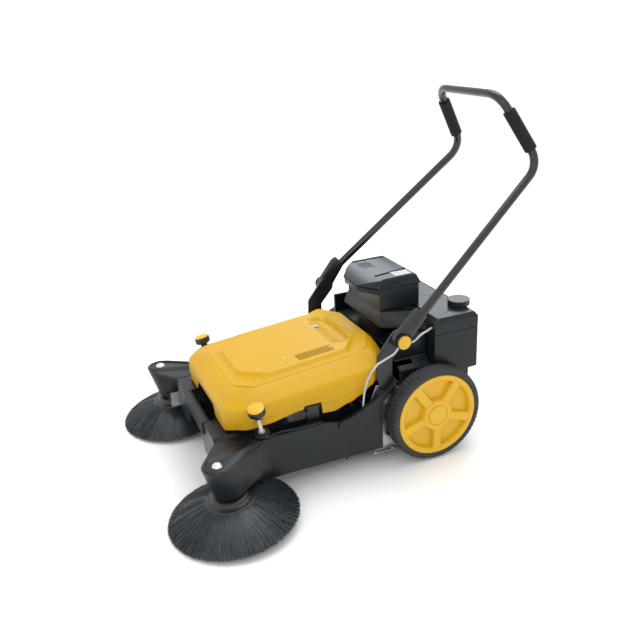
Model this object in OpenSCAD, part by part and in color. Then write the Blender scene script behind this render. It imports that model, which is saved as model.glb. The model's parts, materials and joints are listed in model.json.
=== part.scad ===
// Walk behind sweeper with a main roller, two side brushes, a rear hopper and a battery box.
// Frame: +Z up, +Y towards the person pushing, +X to the near side. Lengths in millimetres.
// The origin is on the ground below the middle of the machine's overall box.

/* [Wheels] */
// Radius of a drive wheel over its tread
wheel_r = 152; // [150:0.5:154]
// Width of the tyre
tyre_w = 54; // [50:1:55]
// Outer radius of the plastic wheel hub
hub_r = 130; // [126:1:132]

/* [Side brushes] */
// Distance of a side brush's axis from the middle of the machine
brush_x = 325.5; // [324:0.5:327]
// Radius of the bristle rim
brush_r = 187; // [183:1:190]
// How far a side brush leans forward, in degrees
brush_tilt = 4.4; // [4:0.1:4.6]

/* [Main roller] */
// Radius over the bristles of the main roller
roller_r = 93; // [90:0.5:94]
// Radius of the roller's wooden core
core_r = 34; // [30:1:38]

/* [Handle] */
// Outer diameter of the handle tube
tube_d = 25; // [24:0.5:26]
// Centreline radius of the tube's bends
bend_r = 60; // [50:1:60]
// Diameter of the foam grips
grip_d = 37; // [34:1:40]

/* [Hopper] */
// Width of the hopper and of the deck above it
hopper_w = 520; // [500:2:522]
// Height of the top of the rear deck
deck_z = 431; // [428:1:434]

/* [Cover] */
// Thickness of the cover's moulded wall
cover_wall = 4; // [3:0.5:5]
// Number of cooling slits
slit_count = 18; // [10:1:18]

/* [Hidden] */
$fn = 64;

yellow = "goldenrod";
black = "#2b2f31";
dark = "#1c1f20";
zinc = "#b9bdc0";
steel = "#8d9296";

run = 0.06;              // radial clearance of a running fit
gap = 0.4;               // least gap between two bodies

// Drive line
axle_y = 220;
axle_z = wheel_r;
axle_r = 10;
sleeve_r = 17;
tyre_in = 266;
gear_m = 4.5;            // gear module
gear_teeth = 40;
pinion_teeth = 20;
gear_x = 235;
gear_w = 8;
roller_z = 97;
shaft_gap = gear_m * (gear_teeth + pinion_teeth) / 2;
roller_y = axle_y - sqrt(pow(shaft_gap, 2) - pow(axle_z - roller_z, 2));
mesh_angle = atan2(roller_z - axle_z, roller_y - axle_y);

// Chassis
tray_x = 222;            // half width outside the tray walls
tray_front = -330;
tray_rear = 238;
tray_wall = 4;
tray_low = 62;
tray_top = 196;
plate_x = 247;           // inner face of the steel side plates
panel_x = 268;           // inner face of an arm's side panel
panel_t = 6;
arm_pin_y = 10;
arm_pin_z = 105;

// Belt drive of the side brushes
belt_x = 229.5;
belt_r = 2.5;
wheel_pulley_r = 34;     // radii of the belt's centreline on each pulley
idler_r = 14;
brush_pulley_r = 28;
idler_x = belt_x + idler_r;
front_idler = [idler_x, -458, 113];
rear_idler = [idler_x, -403, 128];
brush_hub_z = 99;        // height of the brush pulley above the rim, along its axis
rim = [brush_x, -437, 16];

// Hand screws that set the height of the side brushes
stud_low = [260, -315, 212];
stud_top = [277, -333, 305];
stud_dir = (stud_top - stud_low) / norm(stud_top - stud_low);

// Handle
clamp = [274, 120.6, 404];
tube_end = [279.5, 174.7, 464];
tube_low = tube_end - 34 * [0, 0.67, 0.742];
tube_back = [205, 628.2, 834];
tube_top = [161, 508.3, 1038.9];

// Rear box
box_front = 243;
box_rear = 395;
box_low = 251;
lid_gap_z = 384;
hopper_low_x = 216;
fan_y = 184;             // y of the fan's shaft
fan_r = 50;

// ---------------------------------------------------------------- helpers

function unit(v) = v / norm(v);

// Both sides of the machine: the far side is the mirror image of the near one.
module both() {
    children();
    mirror([1, 0, 0]) children();
}

// Stands local +Z along the direction d.
module along(d) {
    z = unit(d);
    x = unit(cross([0, 1, 0], z));
    y = cross(z, x);
    multmatrix([[x[0], y[0], z[0], 0], [x[1], y[1], z[1], 0], [x[2], y[2], z[2], 0], [0, 0, 0, 1]])
        children();
}

// A round bar between two points.
module rod(a, b, r) {
    translate(a) along(b - a) cylinder(r = r, h = norm(b - a));
}

// A cylinder along X from x0 to x1 at (y, z).
module x_cyl(x0, x1, y, z, r) {
    translate([x0, y, z]) rotate([0, 90, 0]) cylinder(r = r, h = x1 - x0);
}

// A side outline drawn as (y, z) points and drawn out along X.
module x_plate(x0, x1) {
    translate([x0, 0, 0]) rotate([90, 0, 90]) linear_extrude(x1 - x0) children();
}

// A front outline drawn as (x, z) points and drawn out along Y.
module y_plate(y0, y1) {
    translate([0, y1, 0]) rotate([90, 0, 0]) linear_extrude(y1 - y0) children();
}

module box(low, high) {
    translate(low) cube(high - low);
}

// A grooved pulley about local Z, its belt's centreline at radius r.
module pulley(r, bore) {
    rotate_extrude() polygon([[bore, -6.5], [r + 3.2, -6.5], [r + 3.2, -5.5], [r - 4.4, -1.6],
        [r - 4.4, 1.6], [r + 3.2, 5.5], [r + 3.2, 6.5], [bore, 6.5]]);
}

// Spur gear outline with n teeth, one of them centred on angle start.
function tooth(a, p, r, m) = [
    [(r - 1.15 * m) * cos(a - 0.33 * p), (r - 1.15 * m) * sin(a - 0.33 * p)],
    [(r + 0.75 * m) * cos(a - 0.12 * p), (r + 0.75 * m) * sin(a - 0.12 * p)],
    [(r + 0.75 * m) * cos(a + 0.12 * p), (r + 0.75 * m) * sin(a + 0.12 * p)],
    [(r - 1.15 * m) * cos(a + 0.33 * p), (r - 1.15 * m) * sin(a + 0.33 * p)]];

module gear_outline(n, start) {
    polygon([for (i = [0:n - 1]) each tooth(start + i * 360 / n, 360 / n, gear_m * n / 2, gear_m)]);
}

// Rings of points around a path, for the sweeps below; a closed path joins its two ends
function path_at(p, i, closed) =
    closed ? p[(i + len(p)) % len(p)] : p[min(max(i, 0), len(p) - 1)];

function rings(p, r, closed, sides) = [for (i = [0:len(p) - 1])
    let (t = unit(path_at(p, i + 1, closed) - path_at(p, i - 1, closed)),
        u = unit(cross(t, [1, 1, 1])), v = cross(t, u))
    for (k = [0:sides - 1]) p[i] + r * (cos(k * 360 / sides) * u + sin(k * 360 / sides) * v)];

// Two triangles between neighbouring corners of two rings; first is the number of the first point
function wall(n, sides, closed, first, flipped) =
    [for (i = [0:(closed ? n - 1 : n - 2)], k = [0:sides - 1])
        let (a = first + i * sides + k, b = first + i * sides + (k + 1) % sides,
            c = first + ((i + 1) % n) * sides + k, d = first + ((i + 1) % n) * sides + (k + 1) % sides)
        each (flipped ? [[a, b, d], [a, d, c]] : [[a, d, b], [a, c, d]])];

// A round cord swept along the points p
module cord(p, r, closed, sides = 8) {
    n = len(p);
    ends = closed ? [] : [[for (k = [0:sides - 1]) k], [for (k = [sides - 1:-1:0]) (n - 1) * sides + k]];
    polyhedron(rings(p, r, closed, sides), concat(wall(n, sides, closed, 0, false), ends), convexity = 6);
}

// An open tube swept along the points p, with outer radius r and bore radius bore
module tube(p, r, bore, sides) {
    n = len(p);
    total = n * sides;
    rim_faces = [for (k = [0:sides - 1]) let (l = (k + 1) % sides, e = total - sides)
        each [[k, l, total + l], [k, total + l, total + k],
            [e + l, e + k, total + e + k], [e + l, total + e + k, total + e + l]]];
    polyhedron(concat(rings(p, r, false, sides), rings(p, bore, false, sides)),
        concat(wall(n, sides, false, 0, false), wall(n, sides, false, total, true), rim_faces),
        convexity = 6);
}

// The frame of a side brush: local origin at the middle of its rim, local +Z up its shaft.
module brush_frame() {
    translate(rim) rotate([brush_tilt, 0, 0]) children();
}

// ---------------------------------------------------------------- chassis

module chassis_tray() {
    inner = tray_x - tray_wall;
    color(black) difference() {
        union() {
            box([-tray_x, tray_front, tray_low], [tray_x, tray_rear, tray_top]);
            both() box([tray_x - 1, -324, 162], [264, -292, stud_rest]);
            both() box([tray_x - 1, -166, 190], [238, -136, 203]);
            both() x_cyl(tray_x - 1, panel_x + 2, arm_pin_y, arm_pin_z, 8);
        }
        box([-inner, tray_front + tray_wall, tray_low + tray_wall], [inner, tray_rear - tray_wall, 240]);
        box([-214, -142, 50], [214, 205, 80]);
        box([-204, tray_rear - 10, 96], [204, tray_rear + 10, 240]);
        both() x_cyl(200, 230, axle_y, axle_z, 24);
        both() x_cyl(200, 230, roller_y, roller_z, 12.4);
        both() x_cyl(200, 230, front_shaft[0], front_shaft[1], 6 + run);
        translate([0, caster[1], 50]) cylinder(r = 8 + run, h = 30);
    }
}

front_shaft = [-34, 150];  // y and z of the front flap's cross shaft
caster = [0, -285];        // x and y of the front caster's pivot
stud_rest = 170;           // height of the lug that the hand screw stands on

module front_beam() {
    color(black) difference() {
        union() {
            y_plate(-446, tray_front - gap) polygon([[-219, 110], [-200, 96], [200, 96], [219, 110],
                [219, 194], [208, 203], [-208, 203], [-219, 194]]);
            for (x = hinge_lugs) {
                box([x, hinge_y - hinge_r, 198], [x + lug_w, hinge_y + hinge_r, hinge_z]);
                x_cyl(x, x + lug_w, hinge_y, hinge_z, hinge_r);
            }
            y_plate(-452, -430) polygon([[-118, 168], [118, 168], [112, 206], [-112, 206]]);
        }
        y_plate(-440, tray_front - 6) polygon([[-213, 90], [213, 90], [213, 190], [205, 197], [-205, 197],
            [-213, 190]]);
        box([-108, -424, 90], [108, -376, 220]);
        y_plate(-500, -424) polygon([[-96, 96], [96, 96], [84, 150], [-84, 150]]);
    }
    color(steel) both() x_cyl(hinge_x - lug_w, hinge_x + knuckle_w + lug_w, hinge_y, hinge_z, pin_r);
}

module side_plates() {
    color(zinc) both() difference() {
        union() {
            x_plate(plate_x, plate_x + 3) polygon([[26, 42], [112, 38], [150, 60], [300, 90], [300, 182],
                [262, 195], [126, 195], [116, 262], [50, 262], [26, 205]]);
            box([plate_x, 26, 38], [264, 112, 41]);
        }
        x_cyl(240, 260, axle_y, axle_z, 22);
        x_cyl(240, 260, roller_y, roller_z, 16);
        x_cyl(240, 270, flap_pivot[0], flap_pivot[1], 6 + run);
        for (y = [40, 98]) translate([257, y, 30]) cylinder(r = 3.2, h = 20);
        for (p = bracket_bolts) x_cyl(240, 260, p[0], p[1], 3.2);
    }
}

bracket_bolts = [[74, 240], [100, 252]];    // y and z of the bolts through a handle bracket
flap_pivot = [84, 206];    // y and z of the front flap's hand lever

module shroud_outline(o) {
    polygon([[-250 + o, 190], [-250 + o, 290 - o / 2], [-168 + o / 2, 338 - o], [168 - o / 2, 338 - o],
        [250 - o, 290 - o / 2], [250 - o, 190]]);
}

module chassis_shroud() {
    color(black) difference() {
        union() {
            y_plate(130, 241) shroud_outline(0);
            both() box([206, 132, 190], [216, 241, lid_gap_z]);
            box([-216, 235, 190], [216, 241, lid_gap_z]);
        }
        y_plate(120, 235) shroud_outline(4);
        box([-200, 225, 180], [200, 250, 250]);
        translate([0, fan_y, 320]) cylinder(r = fan_r + 1, h = 40);
        box([-40, 230, 340], [40, 245, 374]);
        box([-260, 120, 180], [260, 300, 198]);
        both() x_cyl(224, 246, axle_y, axle_z, 96);
    }
}

module rear_deck() {
    color(black) difference() {
        deck_block(0);
        deck_block(5);
        translate([shaker[0], shaker[1], 380]) cylinder(r = 7 + run, h = 60);
        for (p = battery_screws) translate([p[0], p[1], 420]) cylinder(r = 3.2, h = 20);
    }
}

shaker = [177, 378];       // x and y of the filter shaker's knob
battery_screws = [[-90, 164], [90, 164], [-90, 262], [90, 262]];

// The deck is a shallow moulding, open below, with a nose that carries the battery box.
module deck_block(o) {
    high = deck_z - o;
    hull() {
        translate([0, 0, lid_gap_z - (o > 0 ? 1 : 0)]) linear_extrude(high - 12 - lid_gap_z) polygon([
            [-260 + o, box_front + o], [260 - o, box_front + o], [260 - o, box_rear - o],
            [-260 + o, box_rear - o]]);
        translate([0, 0, high - 1]) linear_extrude(1) polygon([
            [-250 + o, 258 + o], [250 - o, 258 + o], [250 - o, box_rear - 8 - o],
            [-250 + o, box_rear - 8 - o]]);
    }
    hull() {
        translate([0, 0, lid_gap_z - (o > 0 ? 1 : 0)]) linear_extrude(8) polygon([
            [-128 + o, 130 + o], [128 - o, 130 + o], [215 - o, 250], [-215 + o, 250]]);
        translate([0, 0, high - 1]) linear_extrude(1) polygon([
            [-112 + o, 140 + o], [112 - o, 140 + o], [172 - o, 250], [-172 + o, 250]]);
    }
}

module main_axle() {
    color(steel) difference() {
        x_cyl(-316, 316, axle_y, axle_z, axle_r);
        both() x_cyl(310, 313, axle_y, axle_z, 9);
    }
}

module axle_blocks() {
    color(steel) both() difference() {
        union() {
            x_cyl(204, tray_x - tray_wall, axle_y, axle_z, axle_r + 4.5);
            box([204, axle_y - 20, 110], [tray_x - tray_wall, tray_rear - tray_wall, axle_z]);
        }
        x_cyl(200, 230, axle_y, axle_z, axle_r);
    }
    // Bushes of the main roller
    color(steel) both() difference() {
        x_cyl(212, tray_x, roller_y, roller_z, 12.4);
        x_cyl(200, 240, roller_y, roller_z, 8 + run);
    }
}

module fan_housing() {
    color(dark) translate([0, fan_y, 0]) {
        difference() {
            translate([0, 0, 325]) cylinder(r = fan_r, h = 57);
            translate([0, 0, 329]) cylinder(r = fan_r - 3, h = 50);
            translate([0, 0, 320]) cylinder(r = 22, h = 20);
            translate([0, 0, 370]) cylinder(r = 14, h = 20);
            box([-34, 10, 340], [34, 80, 372]);
        }
        // Motor
        difference() {
            translate([0, 0, 382]) cylinder(r = 16, h = 18);
            translate([0, 0, 380]) cylinder(r = 4 + run, h = 18);
        }
    }
}

module filter_cartridge() {
    color("#c8c3b4") {
        for (x = [-190:20:190]) box([x - 4, 262, 392], [x + 4, 366, 412]);
        difference() {
            box([-212, 256, 388], [212, 372, 392]);
            for (x = [-190:20:190]) box([x - 1.5, 268, 380], [x + 1.5, 360, 400]);
        }
    }
}

module rear_flap() {
    color(dark) box([-208, 201, 8], [208, 205, 74]);
}

// Plan of the battery box's upper part: a nose with two chamfers looks forward over the cover
module battery_plan(o) {
    polygon([[-112 + o, 138 + o / 2], [-48 + o / 2, 98 + o], [48 - o / 2, 98 + o], [112 - o, 138 + o / 2],
        [112 - o, box_back - o], [-112 + o, box_back - o]]);
}

lid_z = 500;               // top of the battery box
box_back = 277;            // rear wall of the battery box
lid_axis_y = 284.2;        // y of the lid's hinge

module battery_box() {
    color(black) difference() {
        union() {
            box([-112, 140, deck_z], [112, box_back, lid_z]);
            translate([0, 0, 484]) linear_extrude(lid_z - 484) battery_plan(0);
            x_cyl(-124, -108, 212, 450, 7);
            // Hinge lugs of the lid
            both() for (x = [38, 66]) {
                x_cyl(x, x + 6, lid_axis_y, lid_z, 4);
                box([x, box_back - 1, lid_z - 10], [x + 6, lid_axis_y, lid_z - 0.2]);
            }
        }
        box([-107, 145, deck_z + 4], [107, box_back - 5, 520]);
        translate([0, 0, 489]) linear_extrude(20) battery_plan(5);
        translate([-70, 134, 457]) cube([22, 20, 16]);
    }
    color(steel) both() x_cyl(38, 72, lid_axis_y, lid_z, 2.5);
}

module battery() {
    color("#3a4a5a") {
        box([-84, 168, deck_z + 4], [84, 262, 482]);
        for (x = [-66, 66]) translate([x, 182, 482]) cylinder(r = 6, h = 8);
    }
}

module handle_brackets() {
    color(dark) both() difference() {
        union() {
            hull() {
                x_cyl(252, 260, clamp[1], clamp[2], 26, $fn = 32);
                x_cyl(252, 260, 76, 352, 24, $fn = 32);
            }
            hull() {
                x_cyl(252, 260, 76, 352, 24, $fn = 32);
                x_cyl(252, 260, 74, 292, 25, $fn = 32);
            }
            hull() {
                x_cyl(252, 260, 74, 292, 25, $fn = 32);
                x_cyl(252, 260, 88, 250, 20, $fn = 32);
            }
            for (p = bracket_bolts) x_cyl(plate_x + 3, 253, p[0], p[1], 8);
            x_cyl(242, 253, 88, 285, 9);
        }
        x_cyl(240, 270, clamp[1], clamp[2], 5.5);
        for (p = bracket_bolts) x_cyl(240, 270, p[0], p[1], 3.2);
    }
}

module idler_brackets() {
    color(zinc) both() {
        difference() {
            union() {
                box([219, -472, 100], [258, -392, 103]);
                box([219, -472, 100], [222, -392, 150]);
            }
            for (p = [front_idler, rear_idler]) translate([p[0], p[1], 90]) cylinder(r = 4, h = 20);
        }
        for (p = [front_idler, rear_idler]) {
            translate([p[0], p[1], 96]) cylinder(r = 4, h = p[2] - 82);
            translate([p[0], p[1], 92]) cylinder(r = 7, h = 8, $fn = 6);
            translate([p[0], p[1], p[2] + 7]) cylinder(r = 7, h = 6, $fn = 6);
        }
    }
}

cable_r = 3;
// The grey lead from the chassis, past the near handle clamp, to the rear box
near_cable = [[257, 2, 208], [258, 4, 232], [259, 8, 262], [262, 16, 294], [265, 30, 320],
    [268, 48, 342], [279, 70, 358], [290.5, 90, 374], [289.8, 98, 382], [287.4, 106, 389], [287, 113, 391],
    [287, 121, 389],
    [287, 131, 393], [287.4, 140, 395.5], [288.3, 150, 397], [286, 160, 398.5], [279, 172, 400],
    [270, 184, 401], [260, 202, 402],
    [252, 222, 403], [245, 236, 404], [243, 245, 404]];
// The lead from the charging socket on the battery box down into the rear deck
far_cable = [[-124, 212, 450], [-128, 212, 450], [-136, 210, 448], [-141, 206, 440], [-143, 201, 426],
    [-144, 200, 410], [-146, 203, 398]];

module cables() {
    color("#a9adb0") {
        cord(near_cable, cable_r, false);
        cord(far_cable, cable_r, false);
    }
}

module chassis_fasteners() {
    color(zinc) {
        both() for (p = bracket_bolts) {
            x_cyl(240, 260, p[0], p[1], 3);
            x_cyl(260, 261.7, p[0], p[1], 6);
        }
        both() for (y = [40, 98]) translate([257, y, 41]) cylinder(r = 5.5, h = 4, $fn = 6);
        both() for (y = [-300, -220, -140, -60]) x_cyl(tray_x, tray_x + 3, y, 80, 4.5);
    }
}

// The round belt's loop: wheel pulley, front idler, brush pulley, rear idler
belt_path = concat(
    [for (a = [90:-20:-90]) [belt_x, axle_y + wheel_pulley_r * cos(a), axle_z + wheel_pulley_r * sin(a)]],
    [for (a = [180:30:270]) front_idler + idler_r * [cos(a), sin(a), 0]],
    [for (a = [270:20:450])
        let (p = brush_pulley_r * [cos(a), sin(a)], s = sin(brush_tilt), c = cos(brush_tilt))
        rim + [p[0], p[1] * c - brush_hub_z * s, p[1] * s + brush_hub_z * c]],
    [for (a = [270:-30:180]) rear_idler + idler_r * [cos(a), sin(a), 0]]);

module near_drive_belt() {
    color(dark) cord(belt_path, belt_r, true);
}

module far_drive_belt() {
    color(dark) mirror([1, 0, 0]) cord(belt_path, belt_r, true);
}

// ---------------------------------------------------------------- side arms

tip = [342, -472];         // middle of the arm's tip, above the brush
tip_r = 43;

module arm_skin(o) {
    // Round tip column, leaning back towards the brush shaft as it goes down
    hull() {
        translate([tip[0], tip[1], 196 - o]) cylinder(r = tip_r - o, h = 2, $fn = 32);
        translate([329, -445, 100 - (o > 0 ? 1 : 0)]) cylinder(r = 42 - o, h = 2, $fn = 32);
    }
    // Outer wall between the column and the side panel
    hull() {
        translate([329, -445, 100 - (o > 0 ? 1 : 0)]) cylinder(r = 42 - o, h = 2, $fn = 32);
        translate([338, -462, 196 - o]) cylinder(r = tip_r - o, h = 2, $fn = 32);
        translate([291, -380, 102 - (o > 0 ? 1 : 0)]) cylinder(r = 30 - o, h = 2, $fn = 32);
        translate([291, -380, 196 - o]) cylinder(r = 34 - o, h = 2, $fn = 32);
    }
    hull() {
        translate([291, -380, 102 - (o > 0 ? 1 : 0)]) cylinder(r = 30 - o, h = 2, $fn = 32);
        translate([291, -380, 196 - o]) cylinder(r = 34 - o, h = 2, $fn = 32);
        box([258 + o, -330, 66 - (o > 0 ? 1 : 0)], [274 - o, -300 + (o > 0 ? 4 : 0), 198 - o]);
    }
}

module arm() {
    difference() {
        union() {
            arm_skin(0);
            // Top deck under the hand screw
            translate([0, 0, 190]) linear_extrude(8) polygon([[223, -440], [236, -452], [318, -508],
                [342, -500], [342, -400], [274, -300], [274, -130], [250, -130], [250, -296], [223, -296]]);
            // Side panel with its rising rear strip
            x_plate(panel_x, panel_x + panel_t) polygon([[-310, 66], [57, 62], [57, 218], [22, 198],
                [-14, 184], [-46, 174], [-76, 168], [-88, 172], [-88, 190], [-130, 198], [-310, 198]]);
            x_plate(262, 276) polygon([[-84, 166], [-46, 173], [-14, 184], [22, 200], [57, 223], [83, 245],
                [99, 271], [103, 284], [96, 284], [79, 261], [50, 240], [17, 222], [-17, 204],
                [-49, 193], [-84, 184]]);
            x_cyl(252, panel_x + 1, arm_pin_y, arm_pin_z, 16);
            translate(stud_low - 22 * stud_dir) along(stud_dir) cylinder(r = 22, h = 22);
        }
        arm_cavity();
        x_cyl(240, panel_x + 2.4, arm_pin_y, arm_pin_z, 8 + run);
        translate(stud_low - 60 * stud_dir) along(stud_dir) cylinder(r = 6 + run, h = 120);
        // Flat beside the cover's skirt, which the arm passes as it lifts
        box([230, -345, 198.2], [247.5, -285, 232]);
    }
    // Bearing web for the brush shaft
    difference() {
        translate([332, -450, 142]) cylinder(r = 40.5, h = 22);
        brush_frame() translate([0, 0, 90]) cylinder(r = 11 + run, h = 90);
    }
}

// The hollow inside an arm, open below, and the way in for the belt
module arm_cavity() {
    arm_skin(4);
    box([200, -480, 60], [305, -395, 142]);
    box([222, -326, 60], [268, -140, 189]);
}

module near_arm() {
    color(black) arm();
}

module far_arm() {
    color(black) mirror([1, 0, 0]) arm();
}

module tip_bolt() {
    translate([tip[0], tip[1], 198]) rotate_extrude() polygon([[0, 0], [15, 0], [15, 2], [12, 6], [7, 9],
        [0, 10]]);
}

module near_tip_bolt() {
    color(zinc) tip_bolt();
}

module far_tip_bolt() {
    color(zinc) mirror([1, 0, 0]) tip_bolt();
}

module brush_hub() {
    brush_frame() {
        rotate_extrude() polygon([[0, 56], [69, 56], [69, 61], [64, 66], [52, 67], [50, 76], [46, 78],
            [11, 78], [11, 164], [0, 164]]);
        translate([0, 0, brush_hub_z]) pulley(brush_pulley_r, 11.5);
    }
}

module near_brush_hub() {
    color(dark) brush_hub();
}

module far_brush_hub() {
    color(dark) mirror([1, 0, 0]) brush_hub();
}

module brush_bristles() {
    brush_frame() rotate_extrude() polygon([[40, 40], [60, 56], [66, 56], [brush_r - 2, 8], [brush_r, 3],
        [brush_r - 3, 0], [120, 20], [60, 38]]);
}

module near_brush_bristles() {
    color("#30383f") brush_bristles();
}

module far_brush_bristles() {
    color("#30383f") mirror([1, 0, 0]) brush_bristles();
}

module adjuster_knob() {
    translate(stud_top - 24 * stud_dir) along(stud_dir) {
        rotate_extrude() polygon([[6.05, -14], [11, -14], [12, -2], [22, 0], [25, 4], [25, 18], [23, 20],
            [6.05, 20]]);
        translate([0, 0, 20]) cylinder(r = 22, h = 4);
    }
}

module near_adjuster_knob() {
    color(yellow) adjuster_knob();
}

module far_adjuster_knob() {
    color(yellow) mirror([1, 0, 0]) adjuster_knob();
}

module adjuster_stud() {
    rod(stud_low - 41.5 * stud_dir, stud_top - 6 * stud_dir, 6);
    translate(stud_low + 0.3 * stud_dir) along(stud_dir) cylinder(r = 10, h = 3);
}

module near_adjuster_stud() {
    color(zinc) adjuster_stud();
}

module far_adjuster_stud() {
    color(zinc) mirror([1, 0, 0]) adjuster_stud();
}

// ---------------------------------------------------------------- wheels and roller

module tyre() {
    translate([tyre_in, axle_y, axle_z]) rotate([0, 90, 0]) rotate_extrude($fn = 96) polygon([[hub_r, 0],
        [wheel_r - 7, 0], [wheel_r, 8], [wheel_r, tyre_w - 8], [wheel_r - 7, tyre_w], [hub_r, tyre_w]]);
}

module near_tyre() {
    color(dark) tyre();
}

module far_tyre() {
    color(dark) mirror([1, 0, 0]) tyre();
}

module wheel_hub() {
    translate([tyre_in, axle_y, axle_z]) rotate([0, 90, 0]) {
        rotate_extrude($fn = 96) polygon([[axle_r + run, -18], [sleeve_r, -18], [sleeve_r, 20], [118, 28],
            [118, 4], [hub_r, 4], [hub_r, 56], [127, 60], [118, 56], [118, 36], [40, 42], [36, 58],
            [24, 60], [24, 58], [axle_r + run, 51]]);
        for (a = [0:72:359]) rotate([0, 0, a]) translate([38, -15, 34]) cube([82, 30, 18]);
        translate([0, 0, 56]) cylinder(r = 24, h = 4);
    }
}

module near_hub() {
    color(yellow) wheel_hub();
}

module far_hub() {
    color(yellow) mirror([1, 0, 0]) wheel_hub();
}

module drive_gear() {
    color(dark) {
        difference() {
            x_plate(gear_x, gear_x + gear_w) translate([axle_y, axle_z])
                gear_outline(gear_teeth, mesh_angle);
            x_cyl(gear_x - 5, gear_x + 20, axle_y, axle_z, axle_r + run);
        }
        difference() {
            x_cyl(gear_x + gear_w - 1, tyre_in - 18, axle_y, axle_z, sleeve_r);
            x_cyl(gear_x, tyre_in, axle_y, axle_z, axle_r + run);
        }
        translate([belt_x, axle_y, axle_z]) rotate([0, 90, 0]) pulley(wheel_pulley_r, axle_r + run);
        difference() {
            x_cyl(belt_x + 5, gear_x, axle_y, axle_z, 20);
            x_cyl(belt_x, tyre_in, axle_y, axle_z, axle_r + run);
        }
    }
}

module far_drive_pulley() {
    color(dark) mirror([1, 0, 0]) {
        translate([belt_x, axle_y, axle_z]) rotate([0, 90, 0]) pulley(wheel_pulley_r, axle_r + run);
        difference() {
            x_cyl(belt_x + 5, tyre_in - 18, axle_y, axle_z, sleeve_r);
            x_cyl(belt_x, tyre_in, axle_y, axle_z, axle_r + run);
        }
    }
}

module roller_core() {
    color("#8a6a42") x_cyl(-208, 208, roller_y, roller_z, core_r);
    color(steel) {
        x_cyl(-232, -208, roller_y, roller_z, 8);
        x_cyl(208, 250, roller_y, roller_z, 8);
    }
}

module roller_bristles() {
    // Chevron rows of tufts stand on the core
    rows = 10;
    color("#30383f") for (i = [0:rows - 1], s = [-1, 1]) {
        translate([0, roller_y, roller_z]) rotate([i * 360 / rows + (s > 0 ? 18 : 0), 0, 0])
            translate([s > 0 ? 1 : -205, -7, core_r]) cube([204, 14, roller_r - core_r]);
    }
}

module roller_gear() {
    color(dark) difference() {
        x_plate(gear_x, gear_x + gear_w) translate([roller_y, roller_z])
            gear_outline(pinion_teeth, mesh_angle + 180 + 180 / pinion_teeth);
        x_cyl(gear_x - 5, gear_x + 20, roller_y, roller_z, 8);
    }
}

module front_flap() {
    color(dark) {
        x_cyl(-tray_x - 4, tray_x + 4, front_shaft[0], front_shaft[1], 6);
        box([-208, front_shaft[0] - 2, 8], [208, front_shaft[0] + 2, front_shaft[1] - 4]);
    }
}

module flap_lever() {
    color(zinc) {
        x_cyl(238, 262, flap_pivot[0], flap_pivot[1], 6);
        hull() {
            x_cyl(256, 261, flap_pivot[0], flap_pivot[1], 10, $fn = 32);
            x_cyl(256, 261, 122, 244, 5, $fn = 32);
        }
    }
}

module idler(p) {
    translate(p) difference() {
        pulley(idler_r, 4 + run);
        cylinder(r = 4 + run, h = 20, center = true);
    }
}

module near_front_idler() {
    color(dark) idler(front_idler);
}

module near_rear_idler() {
    color(dark) idler(rear_idler);
}

module far_front_idler() {
    color(dark) mirror([1, 0, 0]) idler(front_idler);
}

module far_rear_idler() {
    color(dark) mirror([1, 0, 0]) idler(rear_idler);
}

// ---------------------------------------------------------------- handle

// Points along a bend of the tube at corner b, between straight runs from a and to c
function bend_points(a, b, c) =
    let (u = unit(a - b), v = unit(c - b), half = acos(u * v) / 2,
        x = unit(cross(cross(u, v), u)), start = b + u * bend_r / tan(half))
    [for (k = [0:bend_steps])
        let (t = (180 - 2 * half) * k / bend_steps)
        start + bend_r * (x * (1 - cos(t)) - u * sin(t))];

bend_steps = 8;

function flip(points) = [for (i = [len(points) - 1:-1:0]) [-points[i][0], points[i][1], points[i][2]]];

// The near half of the bent tube, then its mirror image
far_top = [-tube_top[0], tube_top[1], tube_top[2]];
tube_half = concat([tube_low], bend_points(tube_low, tube_back, tube_top),
    bend_points(tube_back, tube_top, far_top));

module handle_tube() {
    color(black) tube(concat(tube_half, flip(tube_half)), tube_d / 2, tube_d / 2 - 2, 20);
}

module hand_grips() {
    leg = unit(tube_top - tube_back);
    low = tube_back + leg * 52;
    high = tube_back + leg * 186;
    color(dark) both() difference() {
        rod(low, high, grip_d / 2);
        rod(low - leg * 5, high + leg * 5, tube_d / 2);
    }
}

module handle_plates() {
    color(dark) both() difference() {
        hull() {
            x_cyl(262, 281, clamp[1], clamp[2], 25, $fn = 32);
            rod(tube_end - [0, 18, 22], tube_end + [-2, 14, 10], 17, $fn = 32);
            rod(tube_end - [1, 12, -10], tube_end + [-2, 4, 18], 14, $fn = 32);
        }
        x_cyl(250, 300, clamp[1], clamp[2], 5.5);
        x_cyl(281.2, 305, clamp[1], clamp[2], 27);
        rod(tube_low, tube_back, tube_d / 2);
    }
}

module clamp_knob() {
    translate([0, clamp[1], clamp[2]]) rotate([0, 90, 0]) {
        translate([0, 0, 244]) cylinder(r = 5, h = 44);
        translate([0, 0, 281.5]) cylinder(r = 9, h = 10);
        rotate_extrude() polygon([[0, 290.5], [20, 290.5], [22, 292], [22, 297], [20, 299], [0, 299]]);
    }
}

module near_clamp_knob() {
    color(yellow) clamp_knob();
}

module far_clamp_knob() {
    color(yellow) mirror([1, 0, 0]) clamp_knob();
}

// ---------------------------------------------------------------- cover

cover_slope = 4.9;
cover_front = -408;
cover_rear = 124;
hinge_y = -392;
hinge_z = 214;
hinge_r = 9;
hinge_x = 150;           // inner end of a hinge knuckle
knuckle_w = 26;
lug_w = 12;
pin_r = 4;
hinge_lugs = [hinge_x - lug_w - gap, hinge_x + knuckle_w + gap, -hinge_x + gap,
    -hinge_x - knuckle_w - lug_w - gap];

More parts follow.
